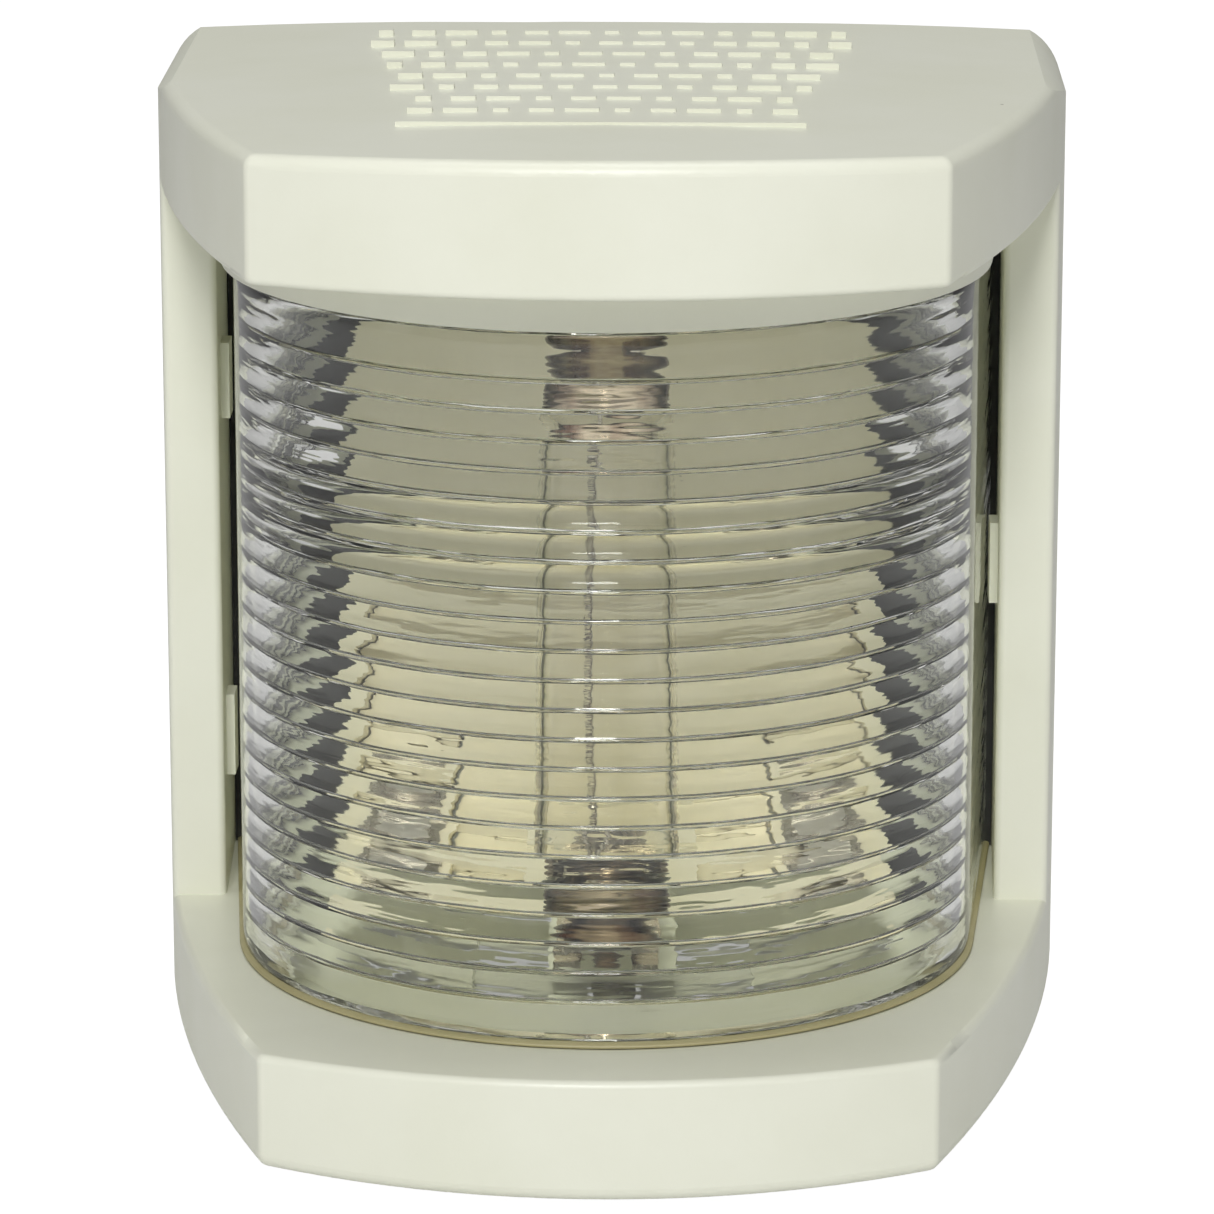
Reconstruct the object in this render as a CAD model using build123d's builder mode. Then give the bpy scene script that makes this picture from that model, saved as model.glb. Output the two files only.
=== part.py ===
# Compact navigation light: hooded front cover with a clear ribbed lens, swinging on a back plate
# that carries a festoon lamp between two sprung contacts.
# Millimetres.  Back face on y = 0, front towards -Y, +Z up, origin in the middle of the back face.
import os
from math import cos, radians, sin, tan

from build123d import *

# --- driving dimensions -------------------------------------------------------------------
half_width = 31.5          # widest half width, at the back
front_depth = 60.0         # back face to the middle of the front face
corner_depth = 55.0        # back face to the front corners
corner_half_width = 21.9   # half width of the front face
side_mid_depth = 29.0      # a point half way along the curved side
side_mid_half_width = 29.1
straight_depth = 3.0       # short parallel length at the back
rear_gap = 0.3             # cover stands this far off the mounting plane
wall = 2.0                 # moulding wall

top_edge_z = 32.6          # top face at the sides
top_crown = 1.0            # extra height on the centre line
hood_low_z = 24.9          # lower edge of the hood face
collar_low_z = 21.8        # lower edge of the collar round the lens
chin_top_z = -25.5         # upper face of the chin
chin_low_z = -32.7         # lower face of the chin at the sides
chin_crown = 0.9           # extra depth on the centre line
top_corner_radius = 5.4    # rounded upper corners seen from the front
low_corner_radius = 3.0
front_corner_radius = 0.8  # upright corners of the front face
outer_edge_radius = 0.9    # edge round the top face and round the underside
soft_edge = 0.5            # edge next to the lens

pivot_y = -4.6             # hinge line of the cover
pivot_z = 29.2
nose_radius = 4.3          # rounded rear of the hood, concentric with the hinge line
nose_inner = 2.3
knuckle_radius = 2.6
pin_radius = 0.8
pin_clearance = 0.06
ear_x = 20.0
ear_half_width = 2.2
ear_radius = 1.6

lens_axis_y = -28.6
lens_radius = 24.8         # outer face of the lens
lens_wall = 2.0
lens_flare = 4.9           # degrees, side walls opening towards the back
lens_back_y = -7.0
ring_pitch = 1.95
ring_height = 0.7
ring_count = 23

cheek_front_y = -20.0      # front of the side walls that join hood and chin
cheek_in_front = 26.75     # half width between them at the front
cheek_in = 27.15           # and from the back of the lens to the back plate
collar_back_y = -8.0
plate_thickness = 2.5
plate_half = 31.3
plate_low_half = 28.8
plate_low_z = -31.0

bulb_z = -4.5
bulb_length = 42.0
cap_radius = 4.25
cap_length = 2.9
glass_radius = 4.9

carrier_half = 19.8        # half width of the lamp carrier
face_y = -8.5              # front of its raised upper wall
carrier_low_z = -25.0
carrier_top_z = 19.5
shelf_y = -13.0            # front of the shelf and blocks under the contacts
rivet_high_z = 17.6
rivet_low_z = -23.0
rivet_hole_radius = 0.85

hole_x = 24.2              # mounting screws
hole_radius = 2.15
cable_z = 6.0              # cable entry, behind the upper wall of the carrier
cable_hole_radius = 4.0
gasket_frame = (29.6, -24.4, 21.4)   # groove for the rear gasket: half width, low z, high z
gasket_width = 2.2
chin_floor_z = -31.6       # inside of the chin
cover_screw_y = -5.0

terminal_x = 15.0
terminal_z = -20.9
terminal_face_y = -9.0
leaf = 0.5                 # thickness of the sprung contacts
foot_front = -13.55
leaf_root_y = -14.5
leaf_tip_y = -31.3
contact_half = 3.5
fork_half = 1.7


def outline(inset):
    # plan outline of hood and chin, drawn inside an open BuildLine
    w = half_width - inset
    m = side_mid_half_width - inset
    c = corner_half_width - 0.75 * inset
    f = -front_depth + inset
    cf = -corner_depth + inset
    Polyline((-w, -straight_depth), (-w, 0), (w, 0), (w, -straight_depth))
    ThreePointArc((w, -straight_depth), (m, -side_mid_depth), (c, cf))
    ThreePointArc((c, cf), (0, f), (-c, cf))
    ThreePointArc((-c, cf), (-m, -side_mid_depth), (-w, -straight_depth))


def lens_points(offset, back_y):
    # tangent point and rear point of the lens wall at a given radius
    a = radians(lens_flare)
    tx = offset * cos(a)
    ty = lens_axis_y - offset * sin(a)
    rx = tx + (back_y - ty) * tan(a)
    return (tx, ty), (rx, back_y)


def lens_outline(offset, back_y):
    # closed U shape: round front, flared sides, straight back
    (tx, ty), (rx, ry) = lens_points(offset, back_y)
    ThreePointArc((-tx, ty), (0, lens_axis_y - offset), (tx, ty))
    Polyline((tx, ty), (rx, ry), (-rx, ry), (-tx, ty))


def lens_band(offset_out, offset_in, back_y, z0, z1):
    # U shaped band of constant thickness, open at the back
    with BuildPart() as band:
        with BuildSketch(Plane.XY.offset(z0)):
            with BuildLine():
                lens_outline(offset_out, back_y)
            make_face()
        extrude(amount=z1 - z0)
        with BuildSketch(Plane.XY.offset(z0 - 0.01)):
            with BuildLine():
                lens_outline(offset_in, back_y + 1.0)
            make_face()
        extrude(amount=z1 - z0 + 0.02, mode=Mode.SUBTRACT)
    return band.part


def box(x0, x1, y0, y1, z0, z1, mode=Mode.ADD):
    with Locations(((x0 + x1) / 2, (y0 + y1) / 2, (z0 + z1) / 2)):
        Box(x1 - x0, y1 - y0, z1 - z0, mode=mode)


def rod_x(radius, x0, x1, y, z, mode=Mode.ADD):
    with Locations(Location(((x0 + x1) / 2, y, z), (0, 90, 0))):
        Cylinder(radius, x1 - x0, mode=mode)


def rod_y(radius, y0, y1, x, z, mode=Mode.ADD):
    with Locations(Location((x, (y0 + y1) / 2, z), (90, 0, 0))):
        Cylinder(radius, y1 - y0, mode=mode)


def rod_z(radius, z0, z1, x, y, mode=Mode.ADD):
    with Locations((x, y, (z0 + z1) / 2)):
        Cylinder(radius, z1 - z0, mode=mode)


def crowned_block(z0, z1, edge_z, crown):
    # plan outline with a crowned outer face on top (crown > 0) or underneath (crown < 0)
    reach = 40.0
    bulge = crown * (reach / half_width) ** 2
    level = z1 if crown < 0 else z0
    with BuildPart() as block:
        with BuildSketch(Plane.XY.offset(z0)) as plan:
            with BuildLine():
                outline(0.0)
            make_face()
            fillet([v for v in plan.vertices() if v.Y < -50.0], front_corner_radius)
        extrude(amount=z1 - z0)
        start_z = edge_z + crown - bulge
        with BuildSketch(Plane.XZ.offset(-5.0)):
            with BuildLine():
                Polyline((reach, start_z), (reach, level), (-reach, level), (-reach, start_z))
                ThreePointArc((-reach, start_z), (0, edge_z + crown), (reach, start_z))
            make_face()
        extrude(amount=70.0, mode=Mode.INTERSECT)
        outer_face = block.faces().sort_by(Axis.Z)[-1 if crown > 0 else 0]
        inner_face = block.faces().sort_by(Axis.Z)[0 if crown > 0 else -1]
        fillet([e for e in outer_face.edges() if e.center().Y < -1.0], outer_edge_radius)
        fillet([e for e in inner_face.edges() if e.center().Y < -1.0], soft_edge)
    return block.part


# --- hood block: crowned top, rounded upper corners, rounded rear ------------------------------
hood_blank = crowned_block(pivot_z - nose_radius, top_edge_z + 4.0, top_edge_z, top_crown)
with BuildPart() as hood_block:
    add(hood_blank)
    with BuildSketch(Plane.XZ.offset(-5.0)) as corner_frame:
        with Locations((0, top_edge_z + top_crown + 0.05)):
            Rectangle(2 * half_width, 40.0, align=(Align.CENTER, Align.MAX))
        fillet(corner_frame.vertices().group_by(Axis.Y)[-1], top_corner_radius)
    extrude(amount=70.0, mode=Mode.INTERSECT)
    with BuildSketch(Plane.YZ.offset(-40.0)):
        with BuildLine():
            Polyline(
                (pivot_y, pivot_z - nose_radius),
                (-70, pivot_z - nose_radius - 0.01),
                (-70, 40),
                (pivot_y - 0.01, 40),
                (pivot_y, pivot_z + nose_radius),
            )
            ThreePointArc(
                (pivot_y, pivot_z + nose_radius),
                (pivot_y + nose_radius, pivot_z),
                (pivot_y, pivot_z - nose_radius),
            )
        make_face()
    extrude(amount=80.0, mode=Mode.INTERSECT)

# --- chin block ---------------------------------------------------------------------------------
chin_blank = crowned_block(chin_low_z - 4.0, chin_top_z, chin_low_z, -chin_crown)
with BuildPart() as chin_block:
    add(chin_blank)
    with BuildSketch(Plane.XZ.offset(rear_gap)) as lower_frame:
        with Locations((0, chin_low_z - chin_crown - 0.05)):
            Rectangle(2 * half_width, 40.0, align=(Align.CENTER, Align.MIN))
        fillet(lower_frame.vertices().group_by(Axis.Y)[0], low_corner_radius)
    extrude(amount=70.0, mode=Mode.INTERSECT)

collar_band = lens_band(lens_radius + 0.8, lens_radius - 0.6, collar_back_y, collar_low_z, hood_low_z + 0.1)

# --- cheeks: side walls that follow the plan outline, thicker towards the front -------------------
with BuildPart() as cheeks:
    with BuildSketch(Plane.XY.offset(chin_top_z - 1.0)) as cheek_plan:
        with BuildLine():
            outline(0.0)
        make_face()
        with BuildLine():
            Polyline(
                (cheek_in_front, cheek_front_y),
                (40.0, cheek_front_y),
                (40.0, -plate_thickness - rear_gap),
                (cheek_in, -plate_thickness - rear_gap),
                (cheek_in, lens_back_y),
                (cheek_in_front, cheek_front_y),
            )
        make_face(mode=Mode.INTERSECT)
        fillet(cheek_plan.vertices().group_by(Axis.Y)[0], soft_edge)
        mirror(about=Plane.YZ)
    extrude(amount=hood_low_z - chin_top_z + 2.0)

with BuildPart() as swing_room:
    rod_x(61.6, -10.0, 10.0, pivot_y, pivot_z)
    box(-10.0, 10.0, -30.0, 1.0, -33.0, -31.0, mode=Mode.INTERSECT)

# --- front housing: hood, collar, chin and cheeks in one moulding ------------------------------
with BuildPart() as front_housing:
    add(hood_block.part)
    add(chin_block.part)
    add(collar_band)
    add(cheeks.part)
    # hollow hood, open at the back under the rounded nose
    with BuildSketch(Plane.XY.offset(hood_low_z + wall)):
        with BuildLine():
            outline(wall)
        make_face()
        with Locations((0, pivot_y + 20.0)):
            Rectangle(80, 40, mode=Mode.SUBTRACT)
    extrude(amount=pivot_z + nose_inner - hood_low_z - wall, mode=Mode.SUBTRACT)
    rod_x(nose_inner, -29.5, 29.5, pivot_y, pivot_z, mode=Mode.SUBTRACT)
    box(-29.5, 29.5, -7.5, 1.0, hood_low_z - 1.0 + wall, pivot_z, mode=Mode.SUBTRACT)
    # hollow chin, open at the back
    with BuildSketch(Plane.XY.offset(chin_floor_z)):
        with BuildLine():
            outline(wall)
        make_face()
    extrude(amount=chin_top_z - wall - chin_floor_z, mode=Mode.SUBTRACT)
    box(-29.5, 29.5, -5.0, 1.0, chin_floor_z, chin_top_z - wall, mode=Mode.SUBTRACT)
    box(-29.5, 29.5, -plate_thickness - rear_gap, 1.0, chin_floor_z, chin_top_z + 0.1, mode=Mode.SUBTRACT)
    # one clear way through hood underside and chin top, inside the lens
    with BuildSketch(Plane.XY.offset(-29.0)):
        with BuildLine():
            lens_outline(lens_radius - 2.9, 1.0)
        make_face()
    extrude(amount=58.0, mode=Mode.SUBTRACT)
    box(-26.9, 26.9, collar_back_y, 1.0, -29.0, hood_low_z + 3.0, mode=Mode.SUBTRACT)
    # room for the lower contact to pass over the chin floor as the cover swings
    add(swing_room.part, mode=Mode.SUBTRACT)
    # knuckles that turn on the hinge pin, and slots for the ears of the back plate
    for side in (-1, 1):
        inner, outer = sorted((side * 14.6, side * 17.2))
        rod_x(knuckle_radius, inner, outer, pivot_y, pivot_z)
        inner, outer = sorted((side * 22.8, side * 25.4))
        rod_x(knuckle_radius, inner, outer, pivot_y, pivot_z)
        centre = side * ear_x
        slot = ear_half_width + 0.4
        box(centre - slot, centre + slot, pivot_y, 1.0, 24.0, pivot_z + 2.15, mode=Mode.SUBTRACT)
    rod_x(pin_radius + pin_clearance, -26.5, 26.5, pivot_y, pivot_z, mode=Mode.SUBTRACT)
    # tabs that bridge the gap beside the lens: two on the left, one on the right
    for side, tab_low_z, tab_high_z in ((-1, 7.7, 13.0), (-1, -17.9, -12.1), (1, -5.2, 0.5)):
        x0, x1 = sorted((side * 26.3, side * (cheek_in + 0.2)))
        box(x0, x1, -16.0, -13.5, tab_low_z, tab_high_z)
    # slot in the chin floor, open to the back, for the retaining screw
    rod_z(2.0, -36.0, -30.0, 0.0, cover_screw_y, mode=Mode.SUBTRACT)
    box(-2.0, 2.0, cover_screw_y, 1.0, -36.0, -30.0, mode=Mode.SUBTRACT)
    # rows of small raised bars and one long plain bar on the top face
    for row in range(8):
        row_y = -9.5 - 4.5 * row
        for k in range(13 - row // 2):
            bar_x = (k - (12 - row // 2) / 2) * 2.6
            bar_len = 1.0 + 0.6 * ((k + row) % 3)
            box(bar_x - bar_len / 2, bar_x + bar_len / 2, row_y - 0.45, row_y + 0.45, 32.7, 33.8)
    box(-13.0, 13.0, -46.3, -45.9, 32.7, 33.75)
front_housing.part.label = "front_housing"

# --- lens: clear wall with horizontal prism rings inside -----------------------------------------
lens_low_z = chin_top_z + 0.45
lens_top_z = collar_low_z - 0.3
with BuildPart() as lens:
    with BuildSketch(Plane.XY.offset(lens_low_z)):
        with BuildLine():
            lens_outline(lens_radius, lens_back_y)
        make_face()
    extrude(amount=lens_top_z - lens_low_z)
    # spigot that tucks up inside the collar
    with BuildSketch(Plane.XY.offset(lens_top_z)):
        with BuildLine():
            lens_outline(lens_radius - 0.9, lens_back_y)
        make_face()
    extrude(amount=2.9)
    # inside face between the rings
    with BuildSketch(Plane.XY.offset(lens_low_z - 1.0)):
        with BuildLine():
            lens_outline(lens_radius - lens_wall - ring_height, lens_back_y + 2.0)
        make_face()
    extrude(amount=60.0, mode=Mode.SUBTRACT)
    # saw tooth rings: each pocket widens towards its lower or upper edge
    for k in range(ring_count):
        ring_z = lens_low_z + 1.4 + k * ring_pitch
        with BuildSketch(Plane.XY.offset(ring_z + 0.25)):
            with BuildLine():
                lens_outline(lens_radius - lens_wall, lens_back_y + 2.0)
            make_face()
        extrude(amount=ring_pitch - 0.55, mode=Mode.SUBTRACT)
lens.part.label = "lens"

# --- seals -----------------------------------------------------------------------------------------
with BuildPart() as lens_seal_lower:
    add(lens_band(lens_radius + 0.25, lens_radius - 2.6, lens_back_y, chin_top_z, lens_low_z))
lens_seal_lower.part.label = "lens_seal_lower"

with BuildPart() as lens_seal_upper:
    add(lens_band(lens_radius - 1.1, lens_radius - 2.5, lens_back_y, lens_top_z + 2.9, hood_low_z))
lens_seal_upper.part.label = "lens_seal_upper"


def side_seal(side):
    # dark upright strip behind the rear edge of the lens
    with BuildPart() as piece:
        x0, x1 = sorted((side * (lens_radius - 0.1), side * (cheek_in - 0.05)))
        box(x0, x1, lens_back_y, lens_back_y + 1.6, chin_top_z + 0.1, hood_low_z - 0.1)
    return piece


side_seal_left = side_seal(-1)
side_seal_left.part.label = "side_seal_left"
side_seal_right = side_seal(1)
side_seal_right.part.label = "side_seal_right"

# --- back plate -------------------------------------------------------------------------------------
frame_half, frame_low_z, frame_high_z = gasket_frame
with BuildPart() as base_plate:
    box(-plate_half, plate_half, -plate_thickness, 0.0, -25.0, pivot_z)
    box(-plate_low_half, plate_low_half, -plate_thickness, 0.0, plate_low_z, -25.0)
    rod_x(nose_radius + 0.35, -40, 40, pivot_y, pivot_z, mode=Mode.SUBTRACT)
    box(-40, 40, -20.0, pivot_y, pivot_z - nose_radius - 0.35, 40, mode=Mode.SUBTRACT)
    # ears that hold the hinge pin
    for side in (-1, 1):
        x0, x1 = sorted((side * (ear_x - ear_half_width), side * (ear_x + ear_half_width)))
        rod_x(ear_radius, x0, x1, pivot_y, pivot_z)
        box(x0, x1, pivot_y - ear_radius, pivot_y + ear_radius, 20.0, pivot_z)
        box(x0, x1, pivot_y - ear_radius, -plate_thickness + 0.1, 20.0, 24.2)
    rod_x(pin_radius, -40, 40, pivot_y, pivot_z, mode=Mode.SUBTRACT)
    # boss for the retaining screw
    box(-4.5, 4.5, -9.5, -plate_thickness + 0.1, plate_low_z, -26.0)
    rod_z(2.6, plate_low_z - 1.0, -26.6, 0.0, cover_screw_y, mode=Mode.SUBTRACT)
    # groove for the rear gasket: cut out whole, then its island put back
    box(-frame_half, frame_half, -1.05, 1.0, frame_low_z, frame_high_z, mode=Mode.SUBTRACT)
    island_half = frame_half - gasket_width
    box(-island_half, island_half, -1.05, 0.0, frame_low_z + gasket_width, frame_high_z - gasket_width)
    # mounting screw holes and cable hole
    for side in (-1, 1):
        rod_y(hole_radius, -10.0, 1.0, side * hole_x, 0.0, mode=Mode.SUBTRACT)
    rod_y(cable_hole_radius, -10.0, 1.0, 0.0, cable_z, mode=Mode.SUBTRACT)
base_plate.part.label = "base_plate"

with BuildPart() as rear_gasket:
    slack = 0.05
    hole_half = island_half + slack
    hole_low_z = frame_low_z + gasket_width - slack
    hole_high_z = frame_high_z - gasket_width + slack
    box(slack - frame_half, frame_half - slack, -1.0, 0.0, frame_low_z + slack, frame_high_z - slack)
    box(-hole_half, hole_half, -2.0, 1.0, hole_low_z, hole_high_z, mode=Mode.SUBTRACT)
rear_gasket.part.label = "rear_gasket"


def plate_seal(side):
    # dark strip on the back plate beside the carrier, cut away round the mounting screw
    with BuildPart() as piece:
        x0, x1 = sorted((side * (carrier_half + 0.3), side * (carrier_half + 3.4)))
        box(x0, x1, -plate_thickness - 1.4, -plate_thickness, -24.4, 19.4)
        rod_y(hole_radius + 1.1, -10.0, 1.0, side * hole_x, 0.0, mode=Mode.SUBTRACT)
    return piece


plate_seal_left = plate_seal(-1)
plate_seal_left.part.label = "plate_seal_left"
plate_seal_right = plate_seal(1)
plate_seal_right.part.label = "plate_seal_right"

with BuildPart() as hinge_pin:
    rod_x(pin_radius, -26.0, 26.0, pivot_y, pivot_z)
hinge_pin.part.label = "hinge_pin"

with BuildPart() as cable_grommet:
    rod_y(cable_hole_radius - 0.05, -plate_thickness - 0.5, -0.1, 0.0, cable_z)
    rod_y(5.4, -plate_thickness - 1.7, -plate_thickness, 0.0, cable_z)
    rod_y(2.6, -10.0, 1.0, 0.0, cable_z, mode=Mode.SUBTRACT)
cable_grommet.part.label = "cable_grommet"

# --- lamp carrier ------------------------------------------------------------------------------------
side_wall = 1.4
with BuildPart() as lamp_carrier:
    # raised upper wall and side walls, open lower bay
    box(-carrier_half, carrier_half, face_y, face_y + 1.5, -7.0, carrier_top_z)
    box(-carrier_half, carrier_half, face_y, -plate_thickness, carrier_top_z - 1.5, carrier_top_z)
    for side in (-1, 1):
        x0, x1 = sorted((side * carrier_half, side * (carrier_half - side_wall)))
        box(x0, x1, face_y, -plate_thickness, carrier_low_z, carrier_top_z)
    box(-carrier_half, carrier_half, shelf_y, -plate_thickness, carrier_low_z, carrier_low_z + 1.5)
    # blocks that the contacts are riveted to
    box(-6.0, 6.0, shelf_y, -8.4, carrier_top_z - 5.0, carrier_top_z)
    box(-6.0, 6.0, shelf_y, -10.0, carrier_low_z, carrier_low_z + 4.0)
    # pads behind the terminals
    for side in (-1, 1):
        x0, x1 = sorted((side * 11.5, side * 18.5))
        box(x0, x1, terminal_face_y, -plate_thickness, carrier_low_z + 1.4, terminal_z + 3.2)
        rod_y(1.5, -20.0, -3.5, side * terminal_x, terminal_z, mode=Mode.SUBTRACT)
    # rivet holes of the contact feet
    rod_y(rivet_hole_radius, -20.0, -9.5, 0.0, rivet_high_z, mode=Mode.SUBTRACT)
    rod_y(rivet_hole_radius, -20.0, -9.0, 0.0, rivet_low_z, mode=Mode.SUBTRACT)
lamp_carrier.part.label = "lamp_carrier"

# --- thin cover over the conductor strips, cut out round the terminal pads and the cable entry -----------
cover_front_y = -4.7
cover_back_y = -3.9
with BuildPart() as wiring_cover:
    box(-18.2, 18.2, cover_front_y, cover_back_y, carrier_low_z + 1.7, carrier_top_z - 1.7)
    for side in (-1, 1):
        x0, x1 = sorted((side * 11.2, side * 19.0))
        box(x0, x1, -6.0, -3.0, carrier_low_z + 1.0, terminal_z + 3.5, mode=Mode.SUBTRACT)
    rod_y(6.0, -6.0, -3.0, 0.0, cable_z, mode=Mode.SUBTRACT)
    # four pegs that stand on the back plate
    for x in (-16.0, 16.0):
        for z in (-10.0, 13.0):
            rod_y(1.2, cover_back_y - 0.1, -plate_thickness, x, z)
wiring_cover.part.label = "wiring_cover"

# --- contacts: a riveted foot and a sprung forked leaf each ---------------------------------------------
bulb_top_z = bulb_z + bulb_length / 2
bulb_low_z = bulb_z - bulb_length / 2
leaf_high_z = bulb_top_z - 0.9
leaf_low_z = bulb_low_z + 0.4


def contact_foot(rivet_z, z0, z1, leaf_z):
    # riveted strip with a short tongue that faces the root of the leaf
    with BuildPart() as piece:
        box(-contact_half, contact_half, foot_front, shelf_y, z0, z1)
        box(-contact_half, contact_half, leaf_root_y + 0.3, shelf_y, leaf_z, leaf_z + leaf)
        rod_y(rivet_hole_radius, -20.0, -10.0, 0.0, rivet_z, mode=Mode.SUBTRACT)
    return piece


def contact_leaf(z0):
    # flat leaf with an open fork that takes the conical end of the lamp cap
    with BuildPart() as piece:
        box(-contact_half, contact_half, leaf_tip_y, leaf_root_y, z0, z0 + leaf)
        rod_z(fork_half, z0 - 1.0, z0 + 2.0, 0.0, lens_axis_y, mode=Mode.SUBTRACT)
        box(-fork_half, fork_half, -40.0, lens_axis_y, z0 - 1.0, z0 + 2.0, mode=Mode.SUBTRACT)
    return piece


contact_foot_upper = contact_foot(rivet_high_z, leaf_high_z, carrier_top_z - 0.2, leaf_high_z)
contact_foot_upper.part.label = "contact_foot_upper"
contact_foot_lower = contact_foot(rivet_low_z, leaf_low_z, rivet_low_z + 1.8, leaf_low_z)
contact_foot_lower.part.label = "contact_foot_lower"
contact_upper = contact_leaf(leaf_high_z)
contact_upper.part.label = "contact_upper"
contact_lower = contact_leaf(leaf_low_z)
contact_lower.part.label = "contact_lower"

with BuildPart() as contact_rivets:
    for rivet_z in (rivet_high_z, rivet_low_z):
        rod_y(0.8, foot_front - 0.1, -10.2, 0.0, rivet_z)
        rod_y(1.3, foot_front - 0.5, foot_front, 0.0, rivet_z)
contact_rivets.part.label = "contact_rivets"

# --- conductor strips on the back plate under the wiring cover, one to each terminal ----------------------
strip_front_y = -plate_thickness - 0.5
strip_back_y = -plate_thickness
with BuildPart() as strip_left:
    box(-12.5, -9.5, strip_front_y, strip_back_y, terminal_z + 3.6, 17.0)
    box(-12.5, -1.5, strip_front_y, strip_back_y, 14.0, 17.0)
strip_left.part.label = "strip_left"

with BuildPart() as strip_right:
    box(7.4, 11.2, strip_front_y, strip_back_y, -23.3, -16.5)
    box(1.5, 11.2, strip_front_y, strip_back_y, -23.3, -21.2)
strip_right.part.label = "strip_right"


# --- terminals ----------------------------------------------------------------------------------------------
def terminal(side):
    with BuildPart() as piece:
        x = side * terminal_x
        box(x - 2.8, x + 2.8, terminal_face_y - 0.8, terminal_face_y, terminal_z - 2.4, terminal_z + 2.8)
        rod_y(1.6, -20.0, -5.0, x, terminal_z, mode=Mode.SUBTRACT)
    return piece


def terminal_washer(side):
    with BuildPart() as piece:
        x = side * terminal_x
        rod_y(2.35, -10.6, -10.1, x, terminal_z)
        rod_y(1.5, -20.0, -5.0, x, terminal_z, mode=Mode.SUBTRACT)
    return piece


def terminal_screw(side):
    with BuildPart() as piece:
        x = side * terminal_x
        rod_y(2.1, -12.2, -10.7, x, terminal_z)
        rod_y(1.44, -11.0, -5.5, x, terminal_z)
        box(x - 2.3, x + 2.3, -13.0, -11.6, terminal_z - 0.35, terminal_z + 0.35, mode=Mode.SUBTRACT)
    return piece


terminal_left = terminal(-1)
terminal_left.part.label = "terminal_left"
terminal_right = terminal(1)
terminal_right.part.label = "terminal_right"
terminal_washer_left = terminal_washer(-1)
terminal_washer_left.part.label = "terminal_washer_left"
terminal_washer_right = terminal_washer(1)
terminal_washer_right.part.label = "terminal_washer_right"
terminal_screw_left = terminal_screw(-1)
terminal_screw_left.part.label = "terminal_screw_left"
terminal_screw_right = terminal_screw(1)
terminal_screw_right.part.label = "terminal_screw_right"

# --- festoon lamp -------------------------------------------------------------------------------------------
glass_low = bulb_low_z + 2.1
glass_high = bulb_top_z - 2.1


def glass_profile(r_mid, r_end, low, high):
    Polyline(
        (0, low),
        (r_end, low),
        (r_end, low + 2.2),
        (r_mid, low + 5.6),
        (r_mid, high - 5.6),
        (r_end, high - 2.2),
        (r_end, high),
        (0, high),
        (0, low),
    )


with BuildPart() as bulb_glass:
    with BuildSketch(Plane.XZ.offset(-lens_axis_y)):
        with BuildLine():
            glass_profile(glass_radius, 3.4, glass_low + 2.0, glass_high - 2.0)
        make_face()
    revolve(axis=Axis((0, lens_axis_y, 0), (0, 0, 1)))
    with BuildSketch(Plane.XZ.offset(-lens_axis_y)):
        with BuildLine():
            glass_profile(glass_radius - 0.6, 2.8, glass_low + 2.6, glass_high - 2.6)
        make_face()
    revolve(axis=Axis((0, lens_axis_y, 0), (0, 0, 1)), mode=Mode.SUBTRACT)
bulb_glass.part.label = "bulb_glass"


def bulb_cap(tip_z, up):
    # cylinder towards the glass, cone towards the contact; up is +1 for the upper cap
    with BuildPart() as piece:
        with BuildSketch(Plane.XZ.offset(-lens_axis_y)):
            with BuildLine():
                Polyline(
                    (0, tip_z),
                    (0.8, tip_z),
                    (1.3, tip_z - up * 0.9),
                    (cap_radius - 0.4, tip_z - up * 2.6),
                    (cap_radius, tip_z - up * 3.1),
                    (cap_radius, tip_z - up * (3.1 + cap_length)),
                    (3.6, tip_z - up * (3.1 + cap_length)),
                    (3.6, tip_z - up * 3.6),
                    (0, tip_z - up * 3.6),
                    (0, tip_z),
                )
            make_face()
        revolve(axis=Axis((0, lens_axis_y, 0), (0, 0, 1)))
    return piece


bulb_cap_upper = bulb_cap(bulb_top_z, 1)
bulb_cap_upper.part.label = "bulb_cap_upper"
bulb_cap_lower = bulb_cap(bulb_low_z, -1)
bulb_cap_lower.part.label = "bulb_cap_lower"

with BuildPart() as filament:
    rod_z(0.4, -17.0, 8.0, -0.9, lens_axis_y)
filament.part.label = "filament"

with BuildPart() as filament_supports:
    rod_z(0.25, -19.5, -17.05, -0.9, lens_axis_y)
    rod_z(0.25, 8.05, 10.5, -0.9, lens_axis_y)
filament_supports.part.label = "filament_supports"

# --- retaining screw under the chin ------------------------------------------------------------------------
with BuildPart() as screw_insert:
    rod_z(2.55, plate_low_z + 0.1, -26.7, 0.0, cover_screw_y)
    rod_z(1.65, plate_low_z - 1.0, -20.0, 0.0, cover_screw_y, mode=Mode.SUBTRACT)
screw_insert.part.label = "screw_insert"

with BuildPart() as cover_washer:
    rod_z(3.7, -34.5, -34.0, 0.0, cover_screw_y)
    rod_z(1.7, -36.0, -30.0, 0.0, cover_screw_y, mode=Mode.SUBTRACT)
cover_washer.part.label = "cover_washer"

with BuildPart() as cover_screw:
    rod_z(3.1, -36.2, -34.6, 0.0, cover_screw_y)
    rod_z(1.6, -35.0, -27.2, 0.0, cover_screw_y)
    box(-3.2, 3.2, cover_screw_y - 0.4, cover_screw_y + 0.4, -37.0, -35.4, mode=Mode.SUBTRACT)
cover_screw.part.label = "cover_screw"

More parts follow.
